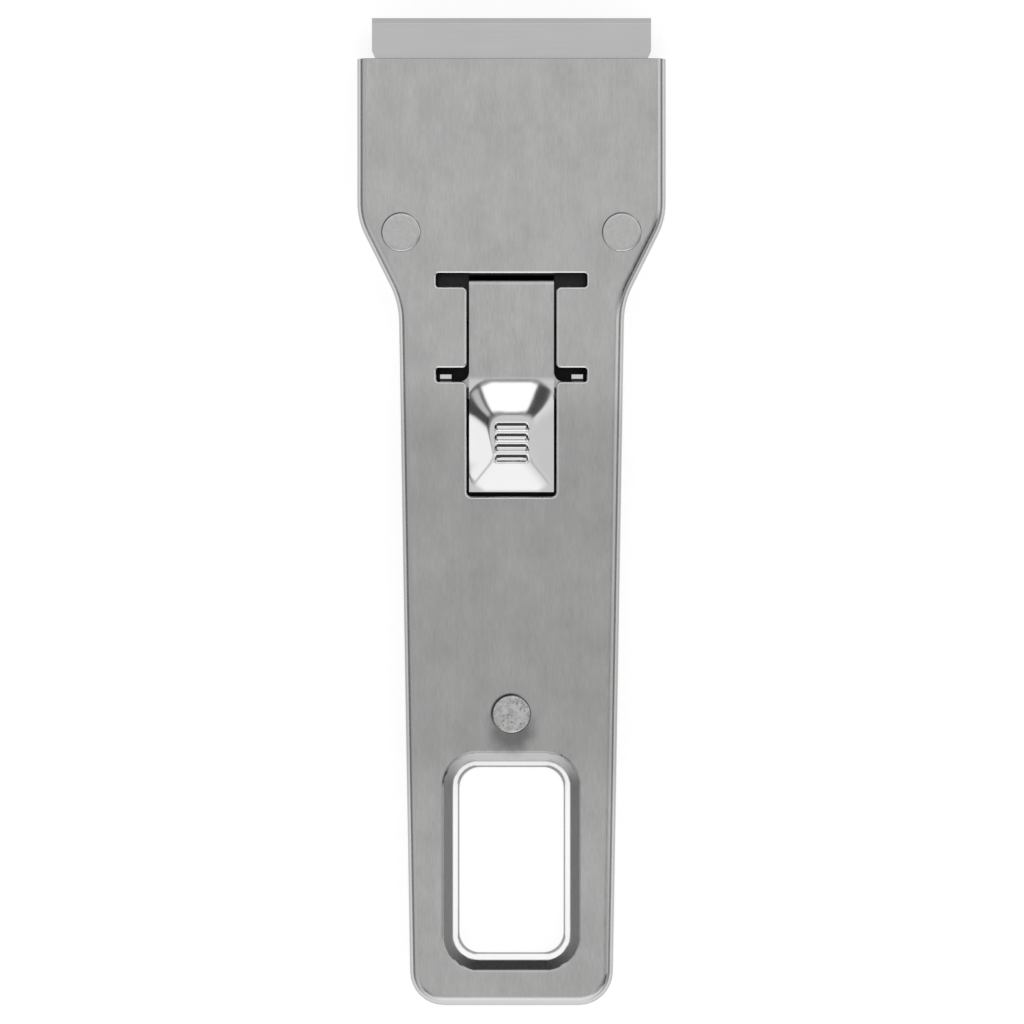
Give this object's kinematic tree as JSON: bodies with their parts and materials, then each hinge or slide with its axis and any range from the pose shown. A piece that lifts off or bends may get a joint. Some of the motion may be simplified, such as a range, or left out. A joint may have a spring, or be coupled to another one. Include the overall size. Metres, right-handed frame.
{
  "type": "razor blade scraper",
  "caption": "Flat steel razor blade scraper: broad head, tapered handle with a hanging opening, and a sliding blade carriage locked by a sprung thumb catch.",
  "frame": {"origin": "middle of the bounding box on the plane of the back face", "axes": "+Y from the tail to the cutting edge, +Z from the back face to the face with the thumb catch, +X to the right seen from that face with the blade up"},
  "size_m": [0.0436, 0.1398, 0.0063],
  "materials": {
    "tray_steel": "lengthwise brushed",
    "rivet_steel": "peened",
    "blade_steel": "ground",
    "carriage_steel": "plain",
    "catch_steel": "polished dish"
  },
  "bodies": {
    "handle": {"front_shell": "tray_steel", "back_shell": "tray_steel", "head_rivet_left": "rivet_steel", "head_rivet_right": "rivet_steel", "tail_rivet": "rivet_steel", "head_spacer_left": "carriage_steel", "head_spacer_right": "carriage_steel", "tail_spacer": "carriage_steel"},
    "carriage": {"blade_carriage": "carriage_steel", "blade": "blade_steel", "catch_rivets": "rivet_steel"},
    "catch": {"thumb_catch": "catch_steel"}
  },
  "joints": [
    {"name": "carriage slide", "type": "slide", "parent": "handle", "child": "carriage", "axis": [0, 1, 0], "range_m": [0, 0.0134]},
    {"name": "catch press", "type": "hinge", "parent": "carriage", "child": "catch", "pos_m": [0, 0.0379, 0.0036], "axis": [1, 0, 0], "range_deg": [-1.4, 1.6], "stiffness_Nm_per_rad": 4, "springref_deg": -1.72}
  ]
}
